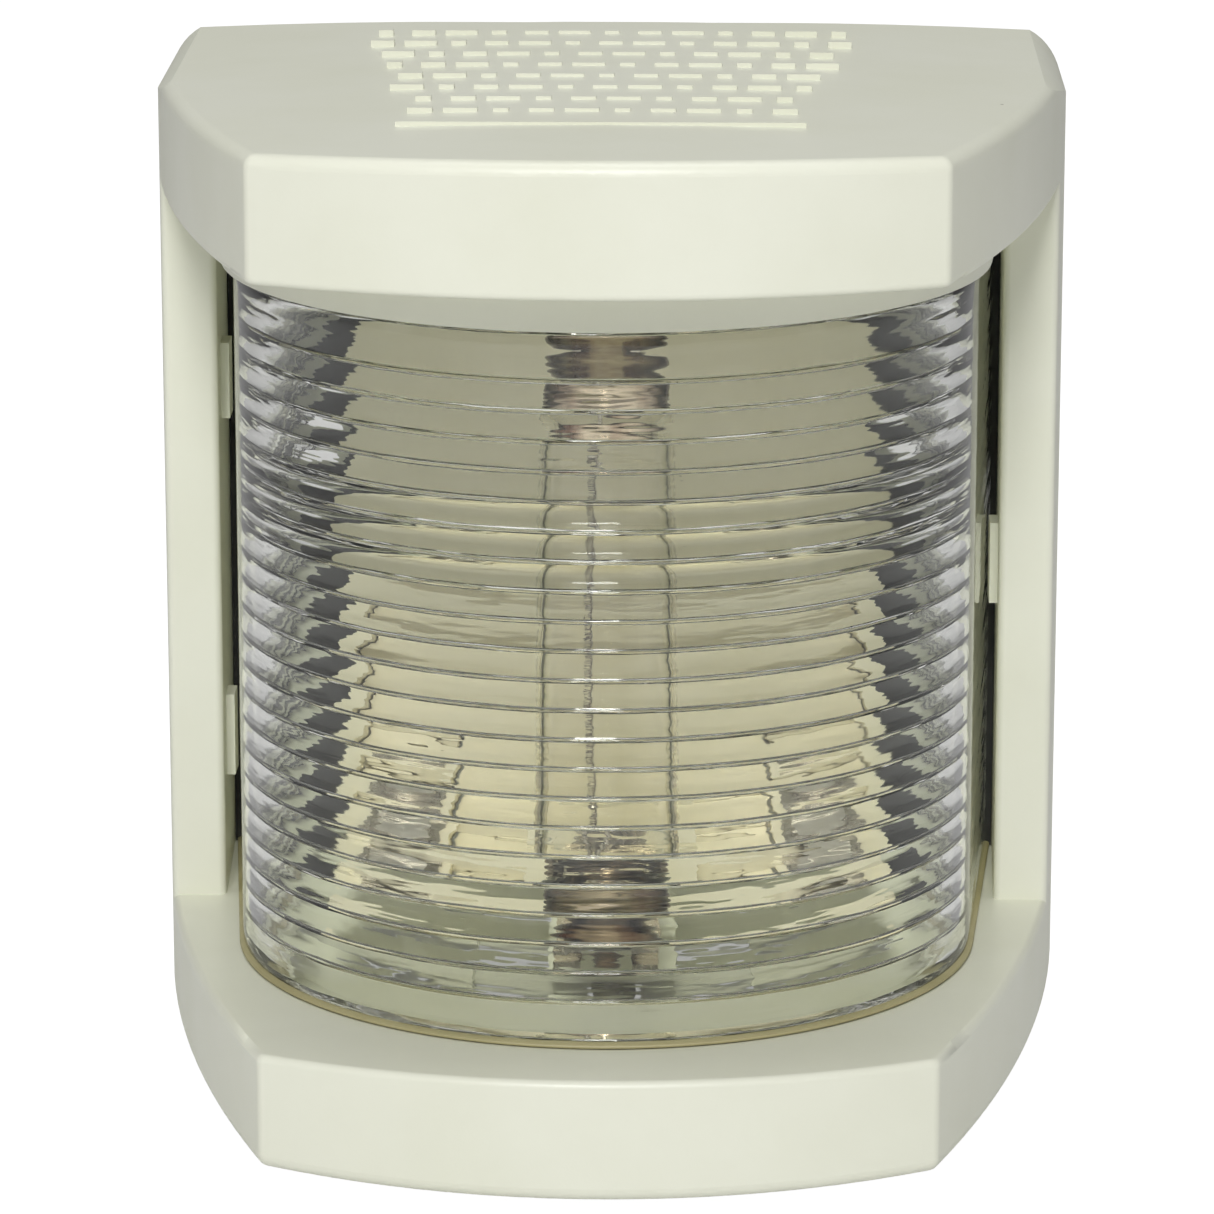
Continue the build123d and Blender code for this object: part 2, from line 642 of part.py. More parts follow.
# --- write every sub-part ------------------------------------------------------------------------------------
os.makedirs("parts", exist_ok=True)
export_step(front_housing.part, "parts/front_housing.step")
export_step(lens.part, "parts/lens.step")
export_step(lens_seal_lower.part, "parts/lens_seal_lower.step")
export_step(lens_seal_upper.part, "parts/lens_seal_upper.step")
export_step(side_seal_left.part, "parts/side_seal_left.step")
export_step(side_seal_right.part, "parts/side_seal_right.step")
export_step(base_plate.part, "parts/base_plate.step")
export_step(rear_gasket.part, "parts/rear_gasket.step")
export_step(plate_seal_left.part, "parts/plate_seal_left.step")
export_step(plate_seal_right.part, "parts/plate_seal_right.step")
export_step(hinge_pin.part, "parts/hinge_pin.step")
export_step(cable_grommet.part, "parts/cable_grommet.step")
export_step(lamp_carrier.part, "parts/lamp_carrier.step")
export_step(wiring_cover.part, "parts/wiring_cover.step")
export_step(contact_foot_upper.part, "parts/contact_foot_upper.step")
export_step(contact_foot_lower.part, "parts/contact_foot_lower.step")
export_step(contact_upper.part, "parts/contact_upper.step")
export_step(contact_lower.part, "parts/contact_lower.step")
export_step(contact_rivets.part, "parts/contact_rivets.step")
export_step(strip_left.part, "parts/strip_left.step")
export_step(strip_right.part, "parts/strip_right.step")
export_step(terminal_left.part, "parts/terminal_left.step")
export_step(terminal_right.part, "parts/terminal_right.step")
export_step(terminal_washer_left.part, "parts/terminal_washer_left.step")
export_step(terminal_washer_right.part, "parts/terminal_washer_right.step")
export_step(terminal_screw_left.part, "parts/terminal_screw_left.step")
export_step(terminal_screw_right.part, "parts/terminal_screw_right.step")
export_step(bulb_glass.part, "parts/bulb_glass.step")
export_step(bulb_cap_upper.part, "parts/bulb_cap_upper.step")
export_step(bulb_cap_lower.part, "parts/bulb_cap_lower.step")
export_step(filament.part, "parts/filament.step")
export_step(filament_supports.part, "parts/filament_supports.step")
export_step(screw_insert.part, "parts/screw_insert.step")
export_step(cover_washer.part, "parts/cover_washer.step")
export_step(cover_screw.part, "parts/cover_screw.step")
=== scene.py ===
from math import atan2, cos, pi, radians, sin, tan

import bpy
import numpy as np
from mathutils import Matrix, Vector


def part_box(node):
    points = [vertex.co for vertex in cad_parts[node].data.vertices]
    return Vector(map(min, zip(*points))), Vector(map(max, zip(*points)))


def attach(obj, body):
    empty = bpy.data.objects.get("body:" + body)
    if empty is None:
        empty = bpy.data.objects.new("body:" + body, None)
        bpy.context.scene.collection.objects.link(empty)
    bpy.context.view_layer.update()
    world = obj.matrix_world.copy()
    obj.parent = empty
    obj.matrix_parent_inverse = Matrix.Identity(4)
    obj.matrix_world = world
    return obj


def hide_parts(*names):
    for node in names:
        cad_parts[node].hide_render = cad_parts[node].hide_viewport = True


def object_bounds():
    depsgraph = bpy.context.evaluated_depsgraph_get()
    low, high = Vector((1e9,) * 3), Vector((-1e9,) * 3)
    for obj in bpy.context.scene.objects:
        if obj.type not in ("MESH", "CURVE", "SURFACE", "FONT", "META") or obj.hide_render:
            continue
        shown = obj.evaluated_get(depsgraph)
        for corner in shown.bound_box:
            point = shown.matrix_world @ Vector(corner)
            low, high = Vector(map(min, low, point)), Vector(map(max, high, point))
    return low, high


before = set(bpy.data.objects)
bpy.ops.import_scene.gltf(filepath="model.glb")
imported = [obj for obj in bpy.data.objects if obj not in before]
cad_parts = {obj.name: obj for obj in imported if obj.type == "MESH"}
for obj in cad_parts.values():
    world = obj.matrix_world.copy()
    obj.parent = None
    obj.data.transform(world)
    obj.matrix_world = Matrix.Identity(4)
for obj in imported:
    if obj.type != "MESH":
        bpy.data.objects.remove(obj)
cadBox = [list(corner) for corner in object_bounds()]
print("stage: frame loaded")

mm = 0.001
scene = bpy.context.scene


# mesh helpers

def putMesh(name, points, faces, smoothAngle=35.0):
    # one mesh object at the origin from an array of points and a list of faces
    mesh = bpy.data.meshes.new(name)
    mesh.from_pydata(points.reshape(-1, 3), [], faces)
    mesh.validate()
    mesh.polygons.foreach_set("use_smooth", np.ones(len(mesh.polygons), bool))
    mesh.set_sharp_from_angle(angle=radians(smoothAngle))
    mesh.update()
    piece = bpy.data.objects.new(name, mesh)
    scene.collection.objects.link(piece)
    return piece


def gridFaces(nu, nv, closeU, closeV):
    # quads between neighbouring rows and columns of a grid, wrapping round where it is closed
    u = np.arange(nu if closeU else nu - 1)
    v = np.arange(nv if closeV else nv - 1)
    a, b = np.meshgrid(u, v, indexing="ij")
    a2 = (a + 1) % nu
    b2 = (b + 1) % nv
    quads = np.stack([a * nv + b, a2 * nv + b, a2 * nv + b2, a * nv + b2], -1)
    return quads.reshape(-1, 4).tolist()


def sweep(name, rings, smoothAngle=35.0):
    # rings is (path, section, 3): a closed section carried along a path, with flat ends
    nu, nv = rings.shape[:2]
    faces = gridFaces(nu, nv, False, True)
    faces.append(list(range(nv))[::-1])
    faces.append([(nu - 1) * nv + k for k in range(nv)])
    return fixNormals(putMesh(name, rings, faces, smoothAngle))


def fixNormals(piece):
    # turn the closed shell the right way out by the sign of its volume
    mesh = piece.data
    mesh.calc_loop_triangles()
    corner = np.zeros(len(mesh.loop_triangles) * 3, int)
    mesh.loop_triangles.foreach_get("vertices", corner)
    where = np.zeros(len(mesh.vertices) * 3)
    mesh.vertices.foreach_get("co", where)
    tri = where.reshape(-1, 3)[corner].reshape(-1, 3, 3)
    volume = np.einsum("ij,ij->i", tri[:, 0], np.cross(tri[:, 1], tri[:, 2])).sum()
    if volume < 0:
        mesh.flip_normals()
    return piece


def turned(name, profile, axisX, axisY, turns=96, smoothAngle=35.0):
    # profile of (radius, z) pairs spun about an upright axis; both ends lie on the axis
    profile = np.array(profile, float)
    angle = np.linspace(0, 2 * pi, turns, endpoint=False)
    inner = profile[1:-1]
    points = np.stack([
        axisX + inner[None, :, 0] * np.cos(angle)[:, None],
        axisY + inner[None, :, 0] * np.sin(angle)[:, None],
        np.broadcast_to(inner[None, :, 1], (turns, len(inner))),
    ], -1)
    count = len(inner)
    faces = gridFaces(turns, count, True, False)
    poles = np.array([[axisX, axisY, profile[0, 1]], [axisX, axisY, profile[-1, 1]]])
    pole = turns * count
    here = np.arange(turns) * count
    after = np.roll(here, -1)
    first = np.stack([np.full(turns, pole), after, here], -1)
    last = np.stack([np.full(turns, pole + 1), here + count - 1, after + count - 1], -1)
    faces += np.stack([first, last], 1).reshape(-1, 3).tolist()
    return fixNormals(putMesh(name, np.vstack([points.reshape(-1, 3), poles]), faces, smoothAngle))


def tube(name, route, radius, sides=10):
    # round section carried along a route, turned with the route's own direction
    route = np.array(route, float)
    heading = np.gradient(route, axis=0)
    heading /= np.linalg.norm(heading, axis=1)[:, None]
    guide = np.array([0.31, 0.93, 0.19])
    across = np.cross(heading, guide)
    across /= np.linalg.norm(across, axis=1)[:, None]
    over = np.cross(heading, across)
    angle = np.linspace(0, 2 * pi, sides, endpoint=False)
    radius = np.broadcast_to(radius, (len(route),))
    rings = route[:, None] + radius[:, None, None] * (
        across[:, None] * np.cos(angle)[None, :, None] + over[:, None] * np.sin(angle)[None, :, None])
    return sweep(name, rings)


def join(name, pieces):
    # several meshes become one piece
    bpy.ops.object.select_all(action="DESELECT")
    for piece in pieces:
        piece.select_set(True)
    bpy.context.view_layer.objects.active = pieces[0]
    bpy.ops.object.join()
    pieces[0].name = name
    pieces[0].data.name = name
    return pieces[0]


# shader helpers

class Wire:
    # a socket that takes part in sums, so shader maths reads as ordinary maths
    def __init__(self, paint, socket):
        self.paint = paint
        self.socket = socket

    def maths(self, operation, first, second):
        return self.paint.node("ShaderNodeMath", {"operation": operation}, {0: first, 1: second})

    def __add__(self, other):
        return self.maths("ADD", self, other)

    def __radd__(self, other):
        return self.maths("ADD", other, self)

    def __sub__(self, other):
        return self.maths("SUBTRACT", self, other)

    def __rsub__(self, other):
        return self.maths("SUBTRACT", other, self)

    def __mul__(self, other):
        return self.maths("MULTIPLY", self, other)

    def __rmul__(self, other):
        return self.maths("MULTIPLY", other, self)

    def __truediv__(self, other):
        return self.maths("DIVIDE", self, other)

    def __rtruediv__(self, other):
        return self.maths("DIVIDE", other, self)

    def __pow__(self, other):
        return self.maths("POWER", self, other)

    def __gt__(self, other):
        return self.maths("GREATER_THAN", self, other)

    def __lt__(self, other):
        return self.maths("LESS_THAN", self, other)


class Paint:
    # one material and its nodes
    def __init__(self, name):
        self.material = bpy.data.materials.new(name)
        self.material.use_nodes = True
        self.tree = self.material.node_tree
        self.tree.nodes.clear()

    def node(self, kind, settings=None, values=None, out=0):
        made = self.tree.nodes.new(kind)
        for key, value in (settings or {}).items():
            setattr(made, key, value)
        for key, value in (values or {}).items():
            if isinstance(value, Wire):
                self.tree.links.new(value.socket, made.inputs[key])
            else:
                made.inputs[key].default_value = value
        return Wire(self, made.outputs[out]) if len(made.outputs) else made

    def place(self):
        return self.node("ShaderNodeTexCoord", out="Object")

    def along(self, axis):
        return self.node("ShaderNodeSeparateXYZ", None, {0: self.place()}, axis)

    def noise(self, scale, detail=3.0, stretch=(1.0, 1.0, 1.0)):
        # a larger stretch value packs the pattern closer along that axis
        where = self.node("ShaderNodeVectorMath", {"operation": "MULTIPLY"}, {0: self.place(), 1: stretch})
        return self.node("ShaderNodeTexNoise", None, {"Vector": where, "Scale": scale, "Detail": detail})

    def ramp(self, value, low, high, gain=1.0):
        # 0 below low, gain above high
        return self.node("ShaderNodeMapRange", {"clamp": True},
                         {"Value": value, "From Min": low, "From Max": high, "To Min": 0.0, "To Max": gain})

    def blend(self, factor, first, second):
        return self.node("ShaderNodeMix", {"data_type": "RGBA"}, {0: factor, 6: first, 7: second}, 2)

    def bump(self, height, depth, strength=1.0):
        return self.node("ShaderNodeBump", None, {"Height": height, "Distance": depth, "Strength": strength})

    def principled(self, **values):
        named = {key.replace("_", " "): value for key, value in values.items()}
        return self.node("ShaderNodeBsdfPrincipled", None, named)

    def finish(self, surface):
        self.node("ShaderNodeOutputMaterial", None, {"Surface": surface})
        return self.material


def colour(red, green, blue):
    # display colour out of 255, turned to the linear value a shader takes
    def linear(part):
        part = part / 255.0
        return part / 12.92 if part <= 0.04045 else ((part + 0.055) / 1.055) ** 2.4
    return (linear(red), linear(green), linear(blue), 1.0)


def dress(piece, material):
    piece.data.materials.clear()
    piece.data.materials.append(material)


def settle(piece, body, material, node):
    # material, then the body it rides on and the CAD node it stands for
    dress(piece, material)
    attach(piece, body)
    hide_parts(node)


# materials

def mouldedPlastic(name, look):
    # moulded nylon: faint mottling, a few dark flecks, fine surface texture
    paint = Paint(name)
    broad = paint.noise(look["mottleScale"], 4.0)
    fine = paint.noise(look["grainScale"], 2.0)
    tint = paint.blend(paint.ramp(broad, 0.35, 0.68), look["colour"], look["mottle"])
    flecks = paint.node("ShaderNodeTexVoronoi", {"feature": "F1"},
                        {"Vector": paint.place(), "Scale": look["fleckScale"]})
    chosen = paint.noise(look["fleckScale"] * 0.23, 1.0)
    speck = paint.ramp(flecks, look["fleckSize"], look["fleckSize"] * 0.55)
    fleckMask = speck * (chosen > look["fleckRarity"])
    tint = paint.blend(fleckMask * 0.75, tint, look["fleck"])
    rough = look["rough"] + paint.ramp(broad, 0.3, 0.7, 0.06) + paint.ramp(fine, 0.3, 0.7, 0.05)
    wave = paint.noise(look["waveScale"], 1.0)
    normal = paint.bump(fine * 0.5 + wave * 2.0, look["bump"], 0.5)
    return paint.finish(paint.principled(
        Base_Color=tint, Roughness=rough, Normal=normal, IOR=1.5))


creamLook = {
    "colour": colour(234, 235, 219), "mottle": colour(229, 230, 212), "fleck": colour(108, 98, 78),
    "mottleScale": 70.0, "grainScale": 5200.0, "waveScale": 420.0,
    "fleckScale": 240.0, "fleckSize": 0.035, "fleckRarity": 0.60,
    "rough": 0.34, "bump": 0.00002,
}
# a lighter copy of the cream plastic for the parts deep inside the lamp: painted light that makes up for the
# shade falling there
lighterInnerLook = dict(creamLook, colour=colour(250, 244, 222), mottle=colour(244, 237, 210), rough=0.42)


def metal(name, look):
    # plated metal: cloudy tarnish, fine rub marks, a colour that darkens downward between two heights where
    # a look gives them, and painted shade that darkens the faces turned away from view
    paint = Paint(name)
    cloud = paint.noise(look["cloudScale"], 4.0)
    rub = paint.noise(look["rubScale"], 2.0)
    stain = paint.ramp(cloud, 0.45, 0.72, look["stainAmount"])
    # where a look gives two heights, the colour darkens towards the stain colour from the upper height down
    # to the lower
    if "darkBottomZ" in look:
        stain = stain + paint.ramp(paint.along("Z"), look["darkTopZ"], look["darkBottomZ"], look["darkAmount"])
    tint = paint.blend(stain, look["colour"], look["stain"])
    # painted shade: faces turned away from view are darkened towards the rim shade colour
    turnedAway = paint.node("ShaderNodeLayerWeight", None, {"Blend": 0.5}, "Facing")
    tint = paint.blend(paint.ramp(turnedAway, 0.12, 0.62, look["edgeAmount"]), tint, look["edge"])
    rough = look["rough"] + paint.ramp(cloud, 0.4, 0.75, 0.14) + paint.ramp(rub, 0.3, 0.7, 0.08)
    normal = paint.bump(rub, 0.000012, 0.6)
    return paint.finish(paint.principled(
        Base_Color=tint, Metallic=1.0, Roughness=rough, Normal=normal))


nickelLook = {
    "colour": colour(214, 208, 196), "stain": colour(150, 138, 112),
    "cloudScale": 320.0, "rubScale": 3000.0, "stainAmount": 0.45, "rough": 0.18,
    # rim shade colour and amount: painted shade on faces turned away from view
    "edge": colour(96, 84, 68), "edgeAmount": 0.3,
}
brassLook = dict(nickelLook, colour=colour(206, 172, 104), stain=colour(136, 100, 52), rough=0.28)
steelLook = dict(nickelLook, colour=colour(204, 200, 190), stain=colour(146, 140, 126), rough=0.34)
# the cap's near-black rim shade at 0.95 is painted shade on its turned-away faces
capLook = dict(
    nickelLook, colour=colour(240, 222, 196), stain=colour(122, 66, 34), rough=0.12, stainAmount=0.8,
    # the colour darkens and browns towards the bottom of the lower cap, from the upper height down to the
    # lower
    edge=colour(44, 26, 16), edgeAmount=0.95, darkBottomZ=-22.6 * mm, darkTopZ=-19.4 * mm, darkAmount=0.5)
tungstenLook = dict(nickelLook, colour=colour(128, 118, 112), stain=colour(78, 62, 54), rough=0.4)


def rubber(name, look):
    # dull rubber with dusty high spots
    paint = Paint(name)
    grain = paint.noise(2600.0, 3.0)
    dust = paint.ramp(paint.noise(180.0, 4.0), 0.5, 0.75, 0.6)
    tint = paint.blend(dust, look["colour"], look["dust"])
    return paint.finish(paint.principled(
        Base_Color=tint, Roughness=look["rough"] + grain * 0.12, Normal=paint.bump(grain, 0.00003, 0.7)))


blackRubberLook = {"colour": colour(34, 34, 34), "dust": colour(62, 61, 58), "rough": 0.62}
beadLook = {"colour": colour(176, 168, 126), "dust": colour(150, 142, 100), "rough": 0.45}


def clearShell(name, look):
    # clear moulding or blown glass; light that only passes through is let through directly
    paint = Paint(name)
    haze = paint.noise(look["hazeScale"], 3.0)
    ripple = paint.noise(look["rippleScale"], 2.0, look["rippleStretch"])
    normal = paint.bump(ripple, look["ripple"], 1.0)
    body = paint.principled(
        Base_Color=paint.blend(paint.ramp(haze, 0.4, 0.75), look["colour"], look["shade"]),
        Roughness=look["rough"] + paint.ramp(haze, 0.45, 0.8, look["hazeRough"]),
        IOR=look["ior"], Transmission_Weight=1.0, Normal=normal)
    passing = paint.node("ShaderNodeBsdfTransparent", None, {"Color": look["passing"]})
    shadowRay = paint.node("ShaderNodeLightPath", out="Is Shadow Ray")
    diffuseRay = paint.node("ShaderNodeLightPath", out="Is Diffuse Ray")
    share = paint.node("ShaderNodeMath", {"operation": "MAXIMUM"}, {0: shadowRay, 1: diffuseRay})
    return paint.finish(paint.node("ShaderNodeMixShader", None, {0: share, 1: body, 2: passing}))


lensLook = {
    "colour": colour(250, 251, 248), "shade": colour(244, 245, 238), "passing": colour(250, 251, 247),
    "rough": 0.015, "hazeRough": 0.05, "hazeScale": 90.0,
    "rippleScale": 130.0, "rippleStretch": (1.0, 1.0, 7.0), "ripple": 0.00005, "ior": 1.5,
}
glassLook = {
    "colour": colour(252, 251, 247), "shade": colour(246, 244, 236), "passing": colour(250, 250, 247),
    "rough": 0.0, "hazeRough": 0.02, "hazeScale": 160.0,
    "rippleScale": 120.0, "rippleStretch": (1.0, 1.0, 0.5), "ripple": 0.00002, "ior": 1.45,
}

creamPlastic = mouldedPlastic("creamPlastic", creamLook)
lighterInnerPlastic = mouldedPlastic("lighterInnerPlastic", lighterInnerLook)
nickelPlate = metal("nickelPlate", nickelLook)
plainBrass = metal("plainBrass", brassLook)
stainlessSteel = metal("stainlessSteel", steelLook)
capMetal = metal("capMetal", capLook)
tungstenWire = metal("tungstenWire", tungstenLook)
blackRubber = rubber("blackRubber", blackRubberLook)
sealBead = rubber("sealBead", beadLook)
lensClear = clearShell("lensClear", lensLook)
bulbClear = clearShell("bulbClear", glassLook)
print("stage: materials made")

# sizes read from the frame

lensLow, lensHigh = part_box("lens")
glassLow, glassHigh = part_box("bulb_glass")
capLow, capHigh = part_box("bulb_cap_lower")
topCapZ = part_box("bulb_cap_upper")[1].z
beadLow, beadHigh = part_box("lens_seal_lower")
lampY = (capLow.y + capHigh.y) / 2
capRadius = (capHigh.x - capLow.x) / 2


# lens

lensShape = {
    "radius": 24.8 * mm,       # outer face
    "axisY": lampY,
    "flare": 4.9,              # degrees, side walls opening to the back
    "wall": 2.0 * mm,
    "spigotInset": 0.9 * mm,
    "spigotHeight": 2.9 * mm,
    "ringPitch": 1.95 * mm,
    "plainFoot": 2.3 * mm,     # plain band under the rings
    "bellyZ": 7.6 * mm,        # height of the smooth belly of the rings
    "prismSlope": 0.55,        # degrees that the ring slope grows by, per ring away from the belly
    "steepest": 8.0,           # degrees
    "ringCrown": 0.06 * mm,    # bulge of each ring's face
    "bellyCrown": 0.34 * mm,   # and of the few rings at the belly
    "bellyRings": 1.7,         # how far from the belly those reach, in ring pitches
    "groove": 0.20 * mm,       # depth of the round groove between rings
    "grooveHalf": 0.17 * mm,   # and half its width
    "pathSteps": 150,          # round the front
    "sideSteps": 23,           # and along each side wall
    "soft": 0.25 * mm,         # cut-back of the outer corners
    "spigotSoft": 0.2 * mm,
}


pathCount = lensShape["pathSteps"] + 2 * lensShape["sideSteps"]


def lensPath(inset):
    # U path at a given inset from the outer face: flared side, round front, flared side
    flare = radians(lensShape["flare"])
    radius = lensShape["radius"] - inset
    axisY = lensShape["axisY"]
    turn = np.linspace(-pi / 2 + flare, pi / 2 - flare, lensShape["pathSteps"])
    frontX = radius * np.sin(turn)
    frontY = axisY - radius * np.cos(turn)
    along = np.linspace(1, 0, lensShape["sideSteps"] + 1)[:-1]
    endX = radius * cos(flare)
    endY = axisY - radius * sin(flare)
    reach = lensHigh.y - endY
    sideX = endX + along * reach * tan(flare)
    sideY = endY + along * reach
    x = np.concatenate([-sideX, frontX, sideX[::-1]])
    y = np.concatenate([sideY, frontY, sideY[::-1]])
    return np.stack([x, y], -1)


def lensSection():
    # closed section of (inset, z): smooth outer face, spigot step, prism rings inside
    low = lensLow.z
    top = lensHigh.z
    step = top - lensShape["spigotHeight"]
    wall = lensShape["wall"]
    soft = lensShape["soft"]
    bevel = 0.28 * soft    # middle point of the soft corner
    spigot = lensShape["spigotInset"]
    spigotSoft = lensShape["spigotSoft"]
    points = [(soft, low), (bevel, low + bevel), (0.0, low + soft)]
    points += [(0.0, z) for z in np.linspace(low + 1.0 * mm, step - 1.0 * mm, 14)]
    points += [(0.0, step - soft), (bevel, step - bevel), (soft, step)]
    points += [(spigot, step), (spigot, top - spigotSoft), (spigot + spigotSoft, top)]
    points += [(wall - spigotSoft, top), (wall, top - spigotSoft)]
    pitch = lensShape["ringPitch"]
    firstZ = low + lensShape["plainFoot"]
    count = int((step - firstZ) / pitch)
    for k in range(count)[::-1]:
        zLow = firstZ + k * pitch
        zHigh = zLow + pitch
        middle = (zLow + zHigh) / 2
        away = (middle - lensShape["bellyZ"]) / pitch
        slope = radians(min(abs(away) * lensShape["prismSlope"], lensShape["steepest"]))
        depth = tan(slope) * pitch
        # t is the height within the ring, taken from its top down; a prism's thick edge faces the belly
        t = np.linspace(0.1, 0.9, 9)[::-1]
        thick = (1 - t) if away > 0 else t
        crown = lensShape["bellyCrown"] if abs(away) < lensShape["bellyRings"] else lensShape["ringCrown"]
        inset = wall + depth * thick + crown * 4 * t * (1 - t)
        points += list(zip(inset, zLow + pitch * t))
        # round groove between this ring and the one below
        turn = np.linspace(0.15 * pi, 0.85 * pi, 5)
        hollow = wall - lensShape["groove"] * np.sin(turn)
        points += list(zip(hollow, zLow + lensShape["grooveHalf"] * np.cos(turn)))
    points += [(wall, firstZ - 0.15 * mm), (wall, low + soft), (wall - soft, low)]
    return np.array(points)


def buildLens():
    section = lensSection()
    rings = np.zeros((pathCount, len(section), 3))
    for column, (inset, z) in enumerate(section):
        rings[:, column, :2] = lensPath(inset)
        rings[:, column, 2] = z
    piece = sweep("lensMoulding", rings, smoothAngle=24.0)
    settle(piece, "cover", lensClear, "lens")


buildLens()
print("stage: lens made")

# seal bead under the lens

beadShape = {"outset": 0.25 * mm, "width": 2.8 * mm}


def buildBead():
    # flat oval section carried round the foot of the lens
    low, high = beadLow.z, beadHigh.z
    middle = (low + high) / 2
    half = (high - low) / 2
    angle = np.linspace(0, 2 * pi, 20, endpoint=False)
    centre = -beadShape["outset"] + beadShape["width"] / 2
    stretch = np.sign(np.cos(angle)) * np.abs(np.cos(angle)) ** 0.55
    rise = np.sign(np.sin(angle)) * np.abs(np.sin(angle)) ** 0.8
    rings = np.zeros((pathCount, len(angle), 3))
    for column, (a, b) in enumerate(zip(stretch, rise)):
        rings[:, column, :2] = lensPath(centre - a * beadShape["width"] / 2)
        rings[:, column, 2] = middle + half * b
    settle(sweep("footBead", rings), "cover", sealBead, "lens_seal_lower")


buildBead()

# lamp

lampShape = {
    "glassRadius": 4.9 * mm, "neckRadius": 3.4 * mm, "glassWall": 0.55 * mm,
    "shoulder": 1.5 * mm, "neckLength": 1.7 * mm, "taper": 0.08,
    "coilRadius": 0.24 * mm, "coilWire": 0.05 * mm, "coilTurns": 92, "coilX": -0.9 * mm,
    "coilLow": -16.2 * mm, "coilHigh": 7.6 * mm,
}


def glassCurve(radius, neck, low, high):
    # belly in the middle, necks at both ends: smooth rise over a shoulder length
    z = np.concatenate([
        np.linspace(low, low + 5.0 * mm, 40), np.linspace(low + 5.2 * mm, high - 5.2 * mm, 20),
        np.linspace(high - 5.0 * mm, high, 40)])
    shoulder = lampShape["shoulder"]
    straight = lampShape["neckLength"]
    near = np.clip((np.minimum(z - low, high - z) - straight) / shoulder, 0, 1)
    swell = near * near * (3 - 2 * near)
    taper = 1.0 - lampShape["taper"] * (z - low) / (high - low)   # a little narrower towards the top
    return np.stack([neck + (radius * taper - neck) * swell, z], -1)


def buildGlass():
    low, high = glassLow.z, glassHigh.z
    wall = lampShape["glassWall"]
    outer = glassCurve(lampShape["glassRadius"], lampShape["neckRadius"], low, high)
    inner = glassCurve(
        lampShape["glassRadius"] - wall, lampShape["neckRadius"] - wall, low + wall, high - wall)
    shells = []
    for label, curve in (("envelopeOuter", outer), ("envelopeInner", inner)):
        ends = np.vstack([[0, curve[0, 1]], curve, [0, curve[-1, 1]]])
        shells.append(turned(label, ends, 0.0, lampY, smoothAngle=50.0))
    shells[1].data.flip_normals()
    settle(join("lampEnvelope", shells), "lamp", bulbClear, "bulb_glass")


def buildCap(name, node, tipZ, up):
    # drawn cap: solder dot, cone, shoulder, rolled rim and a crimp groove
    drawnRadius = 4.25    # rows are (radius, depth from the tip) in mm for a cap of this radius
    rows = [
        (0.0, 0.0), (0.35, 0.0), (0.62, 0.08), (0.85, 0.28), (0.95, 0.5), (1.25, 0.72), (1.6, 1.0),
        (2.6, 1.82), (3.3, 2.38), (3.72, 2.72), (4.02, 3.02), (4.18, 3.34), (4.25, 3.7),
        (4.25, 4.05), (4.12, 4.2), (4.07, 4.35), (4.12, 4.5), (4.25, 4.65), (4.25, 5.55),
        (4.21, 5.75), (4.1, 5.9), (3.9, 6.0), (3.72, 5.94), (3.62, 5.8), (3.62, 3.75), (0.0, 3.7),
    ]
    profile = [(radius * capRadius / drawnRadius, tipZ - up * depth * mm) for radius, depth in rows]
    piece = turned(name, profile, 0.0, lampY, smoothAngle=50.0)
    settle(piece, "lamp", capMetal, node)


def buildFilament():
    # fine coil, slightly bowed, hung between two bent leads with small joints
    turns = lampShape["coilTurns"]
    t = np.linspace(0, 1, turns * 12)
    z = lampShape["coilLow"] + (lampShape["coilHigh"] - lampShape["coilLow"]) * t
    bow = 0.35 * mm * np.sin(pi * t)
    wind = 2 * pi * turns * t
    route = np.stack([
        lampShape["coilX"] - bow + lampShape["coilRadius"] * np.cos(wind),
        lampY + lampShape["coilRadius"] * np.sin(wind), z], -1)
    coil = tube("glowCoil", route, lampShape["coilWire"], 5)
    settle(coil, "lamp", tungstenWire, "filament")


def leadRoute(points, steps=14):
    # smooth run through a few points by blending straight lines with rounded knees
    points = np.array(points, float)
    t = np.linspace(0, len(points) - 1, steps * (len(points) - 1) + 1)
    base = np.minimum(t.astype(int), len(points) - 2)
    part = (t - base)[:, None]
    part = part * part * (3 - 2 * part)
    return points[base] * (1 - part) + points[base + 1] * part


def buildLeads():
    x = lampShape["coilX"]
    high = lampShape["coilHigh"]
    low = lampShape["coilLow"]
    runs = [
        [(0.6 * mm, lampY, 13.0 * mm), (0.1 * mm, lampY, high + 3.2 * mm), (x, lampY, high - 0.2 * mm)],
        [(1.9 * mm, lampY, -21.2 * mm), (x + 0.3 * mm, lampY, low - 0.6 * mm), (x, lampY, low + 0.3 * mm)],
        [(-2.4 * mm, lampY, -21.2 * mm), (x - 0.2 * mm, lampY, low - 0.8 * mm), (x, lampY, low + 0.2 * mm)],
    ]
    made = [tube("lead", leadRoute(run), 0.17 * mm, 8) for run in runs]
    beadRadius = 0.42 * mm
    arc = np.linspace(-pi / 2, pi / 2, 12)
    for beadZ in (high, low, low - 4.2 * mm):
        profile = np.stack([beadRadius * np.cos(arc), beadZ + beadRadius * 1.2 * np.sin(arc)], -1)
        made.append(turned("joint", profile, x, lampY, 20))
    settle(join("lampLeads", made), "lamp", nickelPlate, "filament_supports")


buildGlass()
buildCap("upperCap", "bulb_cap_upper", topCapZ, 1)
buildCap("lowerCap", "bulb_cap_lower", capLow.z, -1)
buildFilament()
buildLeads()
print("stage: lamp made")


# finishes of the carried-over CAD nodes

